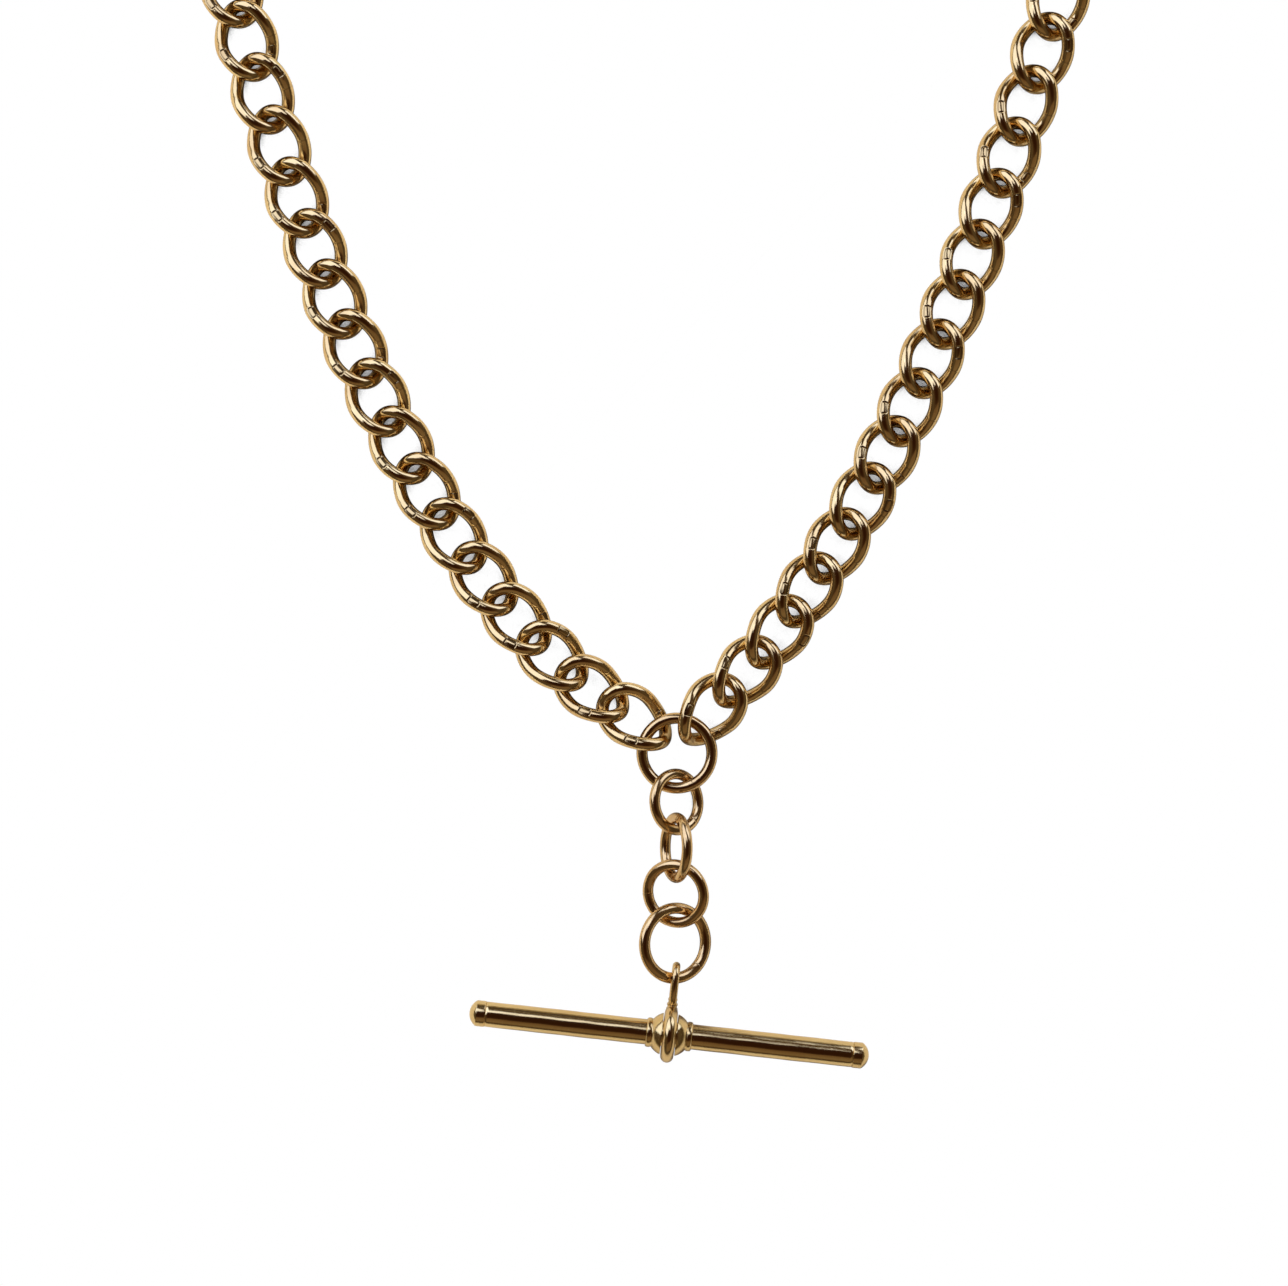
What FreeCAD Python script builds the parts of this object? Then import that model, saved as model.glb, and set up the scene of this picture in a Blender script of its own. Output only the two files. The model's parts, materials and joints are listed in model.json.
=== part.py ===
import FreeCAD, Part
import math
import os
from FreeCAD import Placement, Rotation, Vector

# A double Albert pocket watch chain laid out on a table: two arms of curb links run from a centre ring to
# a swivel clip each, and a drop of plain rings runs from the same ring to a T-bar on a shackle.
# X is to the right, Y runs from the T-bar towards the clips, Z is up from the table at Z = 0.

doc = FreeCAD.newDocument("WatchChain")
sheet = doc.addObject("Spreadsheet::Sheet", "Sizes")

driving = {
    # curb link: half sizes are to the wire's centre line, and twist is the rise per mm along and across
    "linkHalfWidth": 2.2,
    "linkHalfLength": 3.12,
    "linkTwist": 0.29,
    "linkWire": 0.58,
    # arms: distance between link centres, its growth per link, and the slope of the arm's hanging curve
    "pitchStart": 4.48,
    "pitchGrowth": 0.025,
    "leftStartX": -3.64,
    "leftStartY": 3.0,
    "leftSlope": 0.56,
    "leftSlopeGrowth": 0.192,
    "rightStartX": 2.95,
    "rightStartY": 3.7,
    "rightSlope": 1.005,
    "rightSlopeGrowth": 0.162,
    # the links next to the centre ring lie rolled about their length, each less than the one before
    "firstRoll": 20,
    "rollStep": 3,
    # rings of the drop: centre line radius, wire radius, distance down the drop and height of the centre
    "bigRingRadius": 3.05,
    "bigRingWire": 0.495,
    "smallRingRadius": 2.45,
    "midRingRadius": 2.6,
    "smallRingWire": 0.47,
    "centreRingHeight": 1.85,
    "dropLean": 0.55,
    # shackle: eye round the bar, narrow loop above it and the bead between them
    "shackleEyeRadius": 1.9,
    "shackleEyeWire": 0.58,
    "shackleLoopHalfWidth": 1.1,
    "shackleLoopWire": 0.34,
    "shackleLoopTop": 6.0,
    "shackleNeck": 2.75,
    "shackleBead": 0.72,
    "shackleLean": 6.3,
    "shacklePlay": 0.26,
    # T-bar
    "barLength": 35,
    "barRadius": 1.1,
    "barWall": 0.3,
    "capLength": 1.4,
    "capLip": 0.03,
    "capDome": 0.62,
    "spigotLength": 1.6,
    "ballRadius": 1.93,
    "ballHalfGap": 0.63,
    "ballShoulder": 1.32,
    "ballHalfLength": 2.0,
    # swivel clip
    "eyeRadius": 1.45,
    "eyeWire": 0.42,
    "stemRadius": 0.6,
    "stemFit": 0.04,
    "stemHeadRadius": 1.0,
    "stemHeadLength": 0.6,
    "collarRadius": 1.65,
    "collarStart": 2.2,
    "collarLength": 3.6,
    "chamberStart": 3.4,
    "chamberLength": 0.75,
    "hookWire": 0.75,
    "hookHalfWidth": 3.5,
    "hookTop": 12.5,
    "pinRadius": 0.4,
    "pinLength": 2.3,
    "pivotAcross": 2,
    "pivotAlong": 6.9,
    "leverThick": 1.1,
    "leverHalfWidth": 0.6,
    "leverFoot": 0.85,
    "studRadius": 0.55,
    "cheekRadius": 1,
    "cheekBack": -0.8,
    "cheekFoot": 4.9,
    "slotBack": 0.3,
    "slotFloor": 5.95,
    "leverPlay": 0.06,
    "leverLean": 0.1,
    "studOut": 0.2,
    "springThick": 0.2,
    "springWide": 0.88,
    "springBend": 4,
    "springArc": 37,
    "noseEnd": 11.9,
    # the ring and the swivel's eye at the end of each arm
    "endRingStep": 4.1,
    "endRingTurn": 20,
    "eyeStep": 2.5,
    "eyeTurn": -55,
}
for row, (name, value) in enumerate(driving.items(), start=1):
    sheet.set(f"A{row}", name)
    sheet.set(f"B{row}", str(value))
    sheet.setAlias(f"B{row}", name)
doc.recompute()

nodes = {}
up = Vector(0, 0, 1)
across = Vector(1, 0, 0)
along = Vector(0, 1, 0)


def size(name):
    return sheet.get(name)


def add(kind, name, where=Placement(), **sizes):
    # a primitive whose sizes are expressions over the sheet's cells
    item = doc.addObject(kind, name)
    for key, expression in sizes.items():
        item.setExpression(key, expression)
    item.Placement = where
    return item


def keep(item, label, where):
    # a finished sub-part: its label names its file, and it is placed from its own frame into the part's
    item.Label = label
    item.Placement = where
    nodes[label] = item
    return item


def fuse(name, pieces):
    item = doc.addObject("Part::MultiFuse", name)
    item.Shapes = pieces
    item.Refine = True
    return item


def cut(name, base, tool):
    item = doc.addObject("Part::Cut", name)
    item.Base = base
    item.Tool = tool
    item.Refine = True
    return item


def tangentArc(start, corner, finish):
    # the arc that leaves start towards corner and reaches finish from corner, with both runs equally long
    middle = (start + finish) * 0.5
    half = (finish - start).Length / 2
    rise = corner - middle
    halfTurn = math.atan(rise.Length / half)
    crown = middle + rise.normalize() * (half * math.tan(halfTurn / 2))
    return Part.Arc(start, crown, finish).toShape()


def sweepRound(name, edges, radiusCell):
    # a round wire along tangent edges: the path is a helper shape, the section and the sweep are parametric
    path = doc.addObject("Part::Feature", name + "Path")
    path.Shape = Part.Wire(Part.__sortEdges__(edges))
    first = path.Shape.OrderedEdges[0]
    start = path.Shape.OrderedVertexes[0].Point
    forward = first.Orientation == "Forward"
    heading = first.tangentAt(first.FirstParameter if forward else first.LastParameter)
    section = add("Part::Circle", name + "Section", Placement(start, Rotation(up, heading)),
                  Radius=f"Sizes.{radiusCell}")
    swept = doc.addObject("Part::Sweep", name)
    swept.Sections = [section]
    swept.Spine = (path, [f"Edge{n}" for n in range(1, len(path.Shape.Edges) + 1)])
    swept.Solid = True
    return swept


# Curb link. Its centre line has the same shape under a half turn about each of its own axes, so one
# quarter of two arcs makes it: from the middle of a side strand to the middle of an end bend. The strand
# rises and the bend dips, which is the twist that lets the links lie flat in each other.
def linkQuarter():
    side = Vector(size("linkHalfWidth"), 0, 0)
    end = Vector(0, size("linkHalfLength"), 0)
    sideHeading = Vector(0, 1, size("linkTwist") * side.x).normalize()
    endHeading = Vector(-1, 0, -size("linkTwist") * end.y).normalize()
    span = end - side
    turned = sideHeading + endHeading
    # the run that makes both arcs meet tangent halfway between their corners
    square = turned.dot(turned) - 4
    linear = -2 * span.dot(turned)
    run = (-linear - math.sqrt(linear**2 - 4 * square * span.dot(span))) / (2 * square)
    sideCorner = side + sideHeading * run
    endCorner = end - endHeading * run
    joint = (sideCorner + endCorner) * 0.5
    return [tangentArc(side, sideCorner, joint), tangentArc(joint, endCorner, end)]


def halfTurned(edges, axis):
    copies = [edge.copy() for edge in edges]
    for edge in copies:
        edge.rotate(Vector(), axis, 180)
    return copies


quarter = linkQuarter()
rightHalf = quarter + halfTurned(quarter, across)
leftHalf = halfTurned(rightHalf, up)
curbLink = fuse("CurbLink", [sweepRound("LinkRight", rightHalf, "linkWire"),
                             sweepRound("LinkLeft", leftHalf, "linkWire")])
linePoints = 24
linkLine = [point for edge in rightHalf + leftHalf for point in edge.discretize(linePoints)]


def restingHeight(points, turn, radius):
    # the height at which a round wire through these points, turned in place, just touches the table
    return radius - min(turn.multVec(point).z for point in points)


# Arms. The slope of a hanging chain grows evenly along it, and so does the distance between link centres.
def armCentres(side, count):
    prefix = {-1: "left", 1: "right"}[side]
    centre = Vector(size(prefix + "StartX"), size(prefix + "StartY"), 0)
    centres = [centre]
    for number in range(count):
        slope = size(prefix + "Slope") + size(prefix + "SlopeGrowth") * (number + 0.5)
        heading = Vector(side, slope, 0).normalize()
        centre = centre + heading * (size("pitchStart") + size("pitchGrowth") * number)
        centres.append(centre)
    return centres


def headingTurn(step):
    # turns a piece's own length, +Y, to the direction of this step on the table
    return Rotation(up, math.degrees(math.atan2(-step.x, step.y)))


def buildArm(side, count):
    prefix = {-1: "left", 1: "right"}[side]
    centres = armCentres(side, count + 1)
    behind = [Vector()] + centres
    for number in range(count):
        step = centres[number + 1] - behind[number]
        roll = max(0, size("firstRoll") - size("rollStep") * number)
        turn = headingTurn(step) * Rotation(along, roll)
        centre = Vector(centres[number])
        centre.z = restingHeight(linkLine, turn, size("linkWire"))
        link = doc.addObject("Part::Compound", f"{prefix.title()}Link{number + 1}")
        link.Links = [curbLink]
        keep(link, f"{prefix}_link_{number + 1:02d}", Placement(centre, turn))
    return centres[count - 1], headingTurn(centres[count - 1] - centres[count - 3])


# Rings. Each hangs in the last, so it is turned about the chain's direction, with one side on the table.
def ring(name, radiusCell, wireCell, where):
    item = add("Part::Torus", name.title().replace("_", ""), Radius1=f"Sizes.{radiusCell}",
               Radius2=f"Sizes.{wireCell}")
    return keep(item, name, where)


def buildDrop():
    ring("centre_ring", "bigRingRadius", "bigRingWire",
         Placement(Vector(0, 0, size("centreRingHeight")), Rotation()))
    # distance down the drop, height of the centre, turn about the drop and tilt of the far end upwards
    rows = {
        "drop_ring_1": ("smallRingRadius", "smallRingWire", 4.26, 2.05, 39, -5),
        "drop_ring_2": ("midRingRadius", "smallRingWire", 8.2, 2.9, -69, -1),
        "drop_ring_3": ("midRingRadius", "smallRingWire", 12.24, 2.23, -22, 10.5),
        "drop_ring_4": ("bigRingRadius", "bigRingWire", 16.58, 2.05, 29, 0),
    }
    lean = math.tan(math.radians(size("dropLean")))
    for name, (radiusCell, wireCell, down, height, turned, tilted) in rows.items():
        turn = Rotation(along, turned) * Rotation(across, tilted)
        ring(name, radiusCell, wireCell, Placement(Vector(-down * lean, -down, height), turn))
    return nodes["drop_ring_4"].Placement.Base


# Shackle, in its own frame: the bar's axis is X through the origin, and the loop stands up along Y.
def buildShackle(lastRing):
    eye = add("Part::Torus", "ShackleEye", Placement(Vector(), Rotation(up, across)),
              Radius1="Sizes.shackleEyeRadius", Radius2="Sizes.shackleEyeWire")
    halfWidth = size("shackleLoopHalfWidth")
    shoulder = Vector(0, size("shackleLoopTop") - halfWidth, 0)
    crown = shoulder + along * halfWidth
    wide = up * halfWidth
    neck = Vector(0, size("shackleNeck"), 0)
    narrow = up * size("shackleLoopWire")
    # each strand is one arc from the crown's bend in to the neck
    drop = (shoulder - neck).Length
    run = (drop**2 + (wide - narrow).Length ** 2) / (2 * drop)
    loop = [Part.Arc(shoulder + wide, crown, shoulder - wide).toShape(),
            tangentArc(shoulder + wide, shoulder + wide - along * run, neck + narrow),
            tangentArc(shoulder - wide, shoulder - wide - along * run, neck - narrow)]
    loop = sweepRound("ShackleLoop", loop, "shackleLoopWire")
    bead = add("Part::Sphere", "ShackleBead", Placement(neck, Rotation()), Radius="Sizes.shackleBead")
    shackle = fuse("Shackle", [eye, loop, bead])
    # the shackle lies on the table with its eye, and its loop takes the last ring's lowest stretch
    barHeight = size("shackleEyeRadius") + size("shackleEyeWire")
    lean = Rotation(up, -size("shackleLean"))
    reach = size("shackleLoopTop") - size("shackleLoopWire") - size("bigRingWire") - size("shacklePlay")
    held = lastRing - along * size("bigRingRadius")
    dip = math.degrees(math.asin((held.z - barHeight) / reach))
    turn = lean * Rotation(across, dip)
    bar = held - turn.multVec(along * reach)
    keep(shackle, "shackle", Placement(bar, turn))
    return Placement(bar, lean)


# T-bar, in its own frame: its axis is X through the origin.
def buildBar(where):
    onX = Rotation(up, across)

    def rod(name, start, radius, length):
        return add("Part::Cylinder", name, Placement(Vector(start, 0, 0), onX), Radius=radius, Height=length)

    capStart = size("barLength") / 2 - size("capLength")
    tubeLength = "Sizes.barLength - 2 * Sizes.capLength"
    outer = rod("BarOuter", -capStart, "Sizes.barRadius", tubeLength)
    inner = rod("BarInner", -capStart, "Sizes.barRadius - Sizes.barWall", tubeLength)
    keep(cut("BarTube", outer, inner), "bar_tube", where)

    capRadius = "(Sizes.barRadius + Sizes.capLip)"
    domeRadius = f"(({capRadius} ^ 2 + Sizes.capDome ^ 2) / (2 * Sizes.capDome))"
    domeSize = ((size("barRadius") + size("capLip")) ** 2 + size("capDome") ** 2) / (2 * size("capDome"))
    for side, turned in {"right": Rotation(), "left": Rotation(up, 180)}.items():
        title = side.title()
        spigot = rod(f"{title}Spigot", capStart - size("spigotLength"), "Sizes.barRadius - Sizes.barWall",
                     "Sizes.spigotLength")
        rim = rod(f"{title}Rim", capStart, capRadius, "Sizes.capLength - Sizes.capDome")
        domeCentre = Vector(size("barLength") / 2 - domeSize, 0, 0)
        dome = add("Part::Sphere", f"{title}Dome", Placement(domeCentre, onX), Radius=domeRadius,
                   Angle1=f"asin(1 - Sizes.capDome / {domeRadius})", Angle2="90 deg")
        keep(fuse(f"{title}Cap", [spigot, rim, dome]), f"bar_cap_{side}", where * Placement(Vector(), turned))

        ball = add("Part::Sphere", f"{title}Ball", Placement(Vector(), onX), Radius="Sizes.ballRadius",
                   Angle1="asin(Sizes.ballHalfGap / Sizes.ballRadius)",
                   Angle2="acos(Sizes.ballShoulder / Sizes.ballRadius)")
        shoulder = rod(f"{title}Shoulder", size("ballHalfGap"), "Sizes.ballShoulder",
                       "Sizes.ballHalfLength - Sizes.ballHalfGap")
        bore = rod(f"{title}Bore", 0, "Sizes.barRadius", "2 * Sizes.ballHalfLength")
        half = cut(f"{title}Collar", fuse(f"{title}CollarSolid", [ball, shoulder]), bore)
        keep(half, f"bar_collar_{side}", where * Placement(Vector(), turned))


# Swivel clip, in its own frame: the eye is at the origin, the clip runs along Y and lies flat.
def buildClip(prefix, where):
    title = prefix.title()

    def turned(name, start, radius, length):
        return add("Part::Cylinder", title + name, Placement(along * start, Rotation(up, along)),
                   Radius=radius, Height=length)

    def post(name, x, y, radius, length):
        # a cylinder across the clip's flat side, centred on it
        return add("Part::Cylinder", title + name, Placement(Vector(x, y, -size(length) / 2), Rotation()),
                   Radius=f"Sizes.{radius}", Height=f"Sizes.{length}")

    def box(name, corner, length, width, height):
        return add("Part::Box", title + name, Placement(corner, Rotation()), Length=length, Width=width,
                   Height=height)

    # swivel: an eye, a stem that turns in the collar and a head riveted over inside it
    eye = add("Part::Torus", title + "Eye", Radius1="Sizes.eyeRadius", Radius2="Sizes.eyeWire")
    headStart = size("chamberStart") + size("stemFit")
    stem = turned("Stem", size("eyeRadius"), "Sizes.stemRadius", f"{headStart} - Sizes.eyeRadius")
    head = turned("StemHead", headStart, "Sizes.stemHeadRadius", "Sizes.stemHeadLength")
    eyeTurn = Placement(Vector(), Rotation(along, size("eyeTurn")))
    keep(fuse(title + "Swivel", [eye, stem, head]), f"{prefix}_swivel", where * eyeTurn)

    # clip body: collar, cheeks for the lever and a hook
    collar = turned("Collar", size("collarStart"), "Sizes.collarRadius", "Sizes.collarLength")
    # the stem's bore opens below the collar and runs a little into the chamber
    bore = turned("CollarBore", size("collarStart") - size("stemRadius"), "Sizes.stemRadius + Sizes.stemFit",
                  "Sizes.chamberStart - Sizes.collarStart + 1.3 * Sizes.stemRadius")
    chamber = turned("Chamber", size("chamberStart"), "Sizes.stemHeadRadius + Sizes.stemFit",
                     "Sizes.chamberLength")
    pivotX = size("pivotAcross")
    pivotY = size("pivotAlong")
    cheeks = box("Cheeks", Vector(size("cheekBack"), size("cheekFoot"), -size("pinLength") / 2),
                 "Sizes.pivotAcross - Sizes.cheekBack", "Sizes.pivotAlong - Sizes.cheekFoot",
                 "Sizes.pinLength")
    cheekRound = post("CheekRound", pivotX, pivotY, "cheekRadius", "pinLength")
    halfWidth = size("hookHalfWidth")
    heel = Vector(-size("slotBack"), size("cheekFoot") + size("hookWire"), 0)
    bend = Vector(-halfWidth, size("pivotAlong"), 0)
    straight = bend + along * (bend - heel).Length
    leftTop = Vector(-halfWidth, size("hookTop"), 0)
    rightTop = Vector(halfWidth, size("hookTop"), 0)
    noseTip = Vector(halfWidth, size("noseEnd"), 0)
    hook = [tangentArc(heel, bend, straight),
            Part.makeLine(straight, leftTop),
            Part.Arc(leftTop, along * (size("hookTop") + halfWidth), rightTop).toShape(),
            Part.makeLine(rightTop, noseTip)]
    hook = sweepRound(title + "Hook", hook, "hookWire")
    nose = add("Part::Sphere", title + "Nose", Placement(noseTip, Rotation()), Radius="Sizes.hookWire")
    slot = box("Slot", Vector(size("slotBack"), size("slotFloor"), -size("leverThick") / 2 - size("stemFit")),
               "2 * Sizes.pivotAcross", "Sizes.pivotAcross", "Sizes.leverThick + 2 * Sizes.stemFit")
    pinHole = post("PinHole", pivotX, pivotY, "pinRadius", "pinLength")
    holes = fuse(title + "Holes", [bore, chamber, pinHole])
    cheekSolid = cut(title + "Slotted", fuse(title + "CheekSolid", [cheeks, cheekRound]), slot)
    solid = fuse(title + "BodySolid", [collar, cheekSolid, hook, nose])
    keep(cut(title + "Body", solid, holes), f"{prefix}_clip_body", where)

    keep(post("Pin", pivotX, pivotY, "pinRadius", "pinLength"), f"{prefix}_lever_pin",
         where * Placement(Vector(pivotX, pivotY, -size("pinLength") / 2), Rotation()))

    # lever: a bar from its round foot on the pin to a round tip under the nose, with a thumb stud outside
    tip = Vector(halfWidth - size("leverLean"),
                 size("noseEnd") - size("hookWire") - size("leverHalfWidth") - size("leverPlay"), 0)
    reach = tip - Vector(pivotX, pivotY, 0)
    leanOut = Rotation(along, reach)
    lowFace = Vector(0, 0, -size("leverThick") / 2)
    foot = add("Part::Cylinder", title + "LeverFoot", Placement(lowFace, Rotation()),
               Radius="Sizes.leverFoot", Height="Sizes.leverThick")
    shaft = add("Part::Box", title + "LeverShaft",
                Placement(lowFace - across * size("leverHalfWidth"), Rotation()),
                Length="2 * Sizes.leverHalfWidth", Width=f"{reach.Length}", Height="Sizes.leverThick")
    end = add("Part::Cylinder", title + "LeverTip",
              Placement(lowFace + along * reach.Length, Rotation()),
              Radius="Sizes.leverHalfWidth", Height="Sizes.leverThick")
    stud = add("Part::Sphere", title + "Stud",
               Placement(Vector(size("leverHalfWidth") + size("studOut"), reach.Length / 2, 0), Rotation()),
               Radius="Sizes.studRadius")
    pinWay = add("Part::Cylinder", title + "PinWay", Placement(Vector(0, 0, -size("leverThick")), Rotation()),
                 Radius="Sizes.pinRadius + Sizes.stemFit", Height="2 * Sizes.leverThick")
    lever = cut(title + "Lever", fuse(title + "LeverSolid", [foot, shaft, end, stud]), pinWay)
    keep(lever, f"{prefix}_clip_lever", where * Placement(Vector(pivotX, pivotY, 0), leanOut))

    # leaf spring: a bent strip between the slot's back and the lever's inner side
    leafFoot = Vector(size("slotBack") + size("springThick") / 2, pivotY - size("leverHalfWidth"),
                      -size("springWide") / 2)
    bow = add("Part::Cylinder", title + "LeafOuter", Radius="Sizes.springBend + Sizes.springThick / 2",
              Height="Sizes.springWide", Angle="Sizes.springArc")
    hollow = add("Part::Cylinder", title + "LeafInner", Radius="Sizes.springBend - Sizes.springThick / 2",
                 Height="Sizes.springWide")
    leaf = cut(title + "Leaf", bow, hollow)
    turn = Rotation(up, 180 - size("springArc"))
    keep(leaf, f"{prefix}_lever_spring",
         where * Placement(leafFoot + across * size("springBend"), turn))


# The end of an arm: a ring through the last link, and the clip on it.
def buildEnd(prefix, lastCentre, turn):
    heading = turn.multVec(along)
    ringCentre = lastCentre + heading * size("endRingStep")
    ringTurn = turn * Rotation(along, size("endRingTurn"))
    ringRise = size("smallRingRadius") * math.sin(math.radians(size("endRingTurn")))
    ringCentre.z = size("smallRingWire") + ringRise
    ring(f"{prefix}_end_ring", "smallRingRadius", "smallRingWire", Placement(ringCentre, ringTurn))
    eyeCentre = lastCentre + heading * (size("endRingStep") + size("eyeStep"))
    eyeCentre.z = size("collarRadius")
    buildClip(prefix, Placement(eyeCentre, turn))


for side, (prefix, count) in {-1: ("left", 18), 1: ("right", 17)}.items():
    lastCentre, turn = buildArm(side, count)
    buildEnd(prefix, lastCentre, turn)
barPlace = buildShackle(buildDrop())
buildBar(barPlace)
doc.recompute()

# The part's origin is under the middle of the whole layout, on the table.
bounds = FreeCAD.BoundBox()
for item in nodes.values():
    bounds.add(item.Shape.optimalBoundingBox(False, False))
shift = Vector(-bounds.Center.x, -bounds.Center.y, 0)
for item in nodes.values():
    item.Placement.Base += shift
doc.recompute()

failed = [item.Name for item in doc.Objects if "Invalid" in item.State or "Error" in item.State]
if failed:
    raise RuntimeError(f"these objects failed: {failed}")
os.makedirs("parts", exist_ok=True)
for label, item in nodes.items():
    shape = item.Shape
    if shape.isNull() or not shape.isValid() or len(shape.Solids) != 1:
        raise RuntimeError(f"{label} isn't one sound solid")
    shape.exportStep(f"parts/{label}.step")
print(len(nodes), "pieces", bounds)
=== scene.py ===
import json
import math
import bpy
import numpy as np
from mathutils import Matrix, Quaternion, Vector


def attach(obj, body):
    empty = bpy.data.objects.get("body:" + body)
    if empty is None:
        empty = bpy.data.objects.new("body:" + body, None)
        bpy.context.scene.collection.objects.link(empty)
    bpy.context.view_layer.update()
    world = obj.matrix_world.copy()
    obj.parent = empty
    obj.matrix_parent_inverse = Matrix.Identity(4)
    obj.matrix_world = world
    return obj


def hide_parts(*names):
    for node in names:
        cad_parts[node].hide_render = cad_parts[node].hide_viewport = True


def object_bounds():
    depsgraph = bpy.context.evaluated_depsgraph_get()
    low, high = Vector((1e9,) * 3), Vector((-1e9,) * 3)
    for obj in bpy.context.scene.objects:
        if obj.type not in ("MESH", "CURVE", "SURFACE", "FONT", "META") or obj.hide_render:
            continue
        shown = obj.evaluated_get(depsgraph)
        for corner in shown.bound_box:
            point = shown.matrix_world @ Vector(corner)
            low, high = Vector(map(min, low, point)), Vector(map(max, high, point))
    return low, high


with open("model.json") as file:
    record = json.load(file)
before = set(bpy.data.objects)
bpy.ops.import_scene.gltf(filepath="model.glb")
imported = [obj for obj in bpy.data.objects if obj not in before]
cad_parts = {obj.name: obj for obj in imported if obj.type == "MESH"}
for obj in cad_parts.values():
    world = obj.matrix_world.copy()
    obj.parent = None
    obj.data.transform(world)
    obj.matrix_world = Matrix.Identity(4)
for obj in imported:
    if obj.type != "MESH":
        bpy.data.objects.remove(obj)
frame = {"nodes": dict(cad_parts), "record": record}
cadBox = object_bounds()
nodes = frame["nodes"]
bodyOf = {node: body for body, names in frame["record"]["behaviour"]["bodies"].items() for node in names}
mm = 0.001


def vertsOf(obj):
    flat = np.empty(len(obj.data.vertices) * 3)
    obj.data.vertices.foreach_get("co", flat)
    return flat.reshape(-1, 3)


def poseOf(node):
    # where a node lies: area centre, and its own axes from the longest to the shortest
    mesh = nodes[node].data
    mesh.calc_loop_triangles()
    points = vertsOf(nodes[node])
    corners = np.empty(len(mesh.loop_triangles) * 3, dtype=int)
    mesh.loop_triangles.foreach_get("vertices", corners)
    a, b, c = (points[corners.reshape(-1, 3)[:, n]] for n in range(3))
    area = np.linalg.norm(np.cross(b - a, c - a), axis=1)[:, None]
    middle = (a + b + c) / 3
    centre = (middle * area).sum(axis=0) / area.sum()
    spread = sum(((p - centre) * area).T @ (p - centre) for p in (a, b, c, middle))
    values, axes = np.linalg.eigh(spread)
    long = Vector(axes[:, 2])
    flat = Vector(axes[:, 0])
    if flat.z < 0:
        flat = -flat  # its flat side looks up
    if long.y < 0:
        long = -long
    wide = long.cross(flat)
    turn = Matrix((wide, long, flat)).transposed().to_4x4()
    return Matrix.Translation(Vector(centre)) @ turn


def addPiece(name, mesh, node, material):
    piece = bpy.data.objects.new(name, mesh)
    bpy.context.collection.objects.link(piece)
    mesh.materials.append(material)
    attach(piece, bodyOf[node])
    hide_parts(node)
    return piece


def skin(name, grid, closedAlong, pose, grain, mark):
    # a surface through a grid of points: rows along the wire, columns round it, in millimetres
    rows, columns = grid.shape[:2]
    points = np.asarray([pose @ Vector(p) for p in grid.reshape(-1, 3) * mm])
    index = np.arange(rows * columns).reshape(rows, columns)
    nextRow = np.roll(index, -1, axis=0) if closedAlong else index[1:]
    here = index if closedAlong else index[:-1]
    quads = np.stack([here, np.roll(here, -1, axis=1), np.roll(nextRow, -1, axis=1), nextRow], axis=-1)
    faces = quads.reshape(-1, 4).tolist()
    if not closedAlong:
        faces += [index[0][::-1].tolist(), index[-1].tolist()]
    mesh = bpy.data.meshes.new(name)
    mesh.from_pydata(points.tolist(), [], faces)
    mesh.shade_smooth()
    mesh.attributes.new("grain", "FLOAT_VECTOR", "POINT").data.foreach_set("vector", np.ravel(grain))
    mesh.attributes.new("mark", "FLOAT", "POINT").data.foreach_set("value", np.ravel(mark))
    mesh.validate()
    return mesh


def newGroup(name, inputs, outputs):
    group = bpy.data.node_groups.new(name, "ShaderNodeTree")
    for label, kind, value in inputs:
        socket = group.interface.new_socket(label, in_out="INPUT", socket_type="NodeSocket" + kind)
        if value is not None:
            socket.default_value = value
    for label, kind in outputs:
        group.interface.new_socket(label, in_out="OUTPUT", socket_type="NodeSocket" + kind)
    return group, group.nodes.new("NodeGroupInput"), group.nodes.new("NodeGroupOutput")


class Wiring:
    # short ways to place and join nodes in one tree
    def __init__(self, tree):
        self.tree = tree

    def place(self, kind, sockets=None, **settings):
        node = self.tree.nodes.new("ShaderNode" + kind)
        for key, value in settings.items():
            setattr(node, key, value)
        for key, value in (sockets or {}).items():
            self.feed(node.inputs[key], value)
        return node

    def feed(self, socket, value):
        if isinstance(value, bpy.types.NodeSocket):
            self.tree.links.new(value, socket)
        else:
            socket.default_value = value

    def sum(self, operation, a, b=0.0, c=0.0, clamp=False):
        node = self.place("Math", operation=operation, use_clamp=clamp)
        for socket, value in zip(node.inputs, (a, b, c)):
            self.feed(socket, value)
        return node.outputs[0]

    def blend(self, mask, a, b):
        node = self.place("Mix", data_type="RGBA")
        self.feed(node.inputs[0], mask)
        self.feed(node.inputs[6], a)
        self.feed(node.inputs[7], b)
        return node.outputs[2]

    def noise(self, vector, scale, detail=3.0, rough=0.55):
        return self.place("TexNoise", {"Vector": vector, "Scale": scale, "Detail": detail, "Roughness": rough}
                          ).outputs["Fac"]

    def ramp(self, value, low, high):
        return self.place("MapRange", {"Value": value, "From Min": low, "From Max": high}).outputs[0]

    def stretched(self, vector, scale, turned=(0, 0, 0)):
        return self.place("Mapping", {"Vector": vector, "Scale": scale, "Rotation": turned}).outputs[0]


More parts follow.
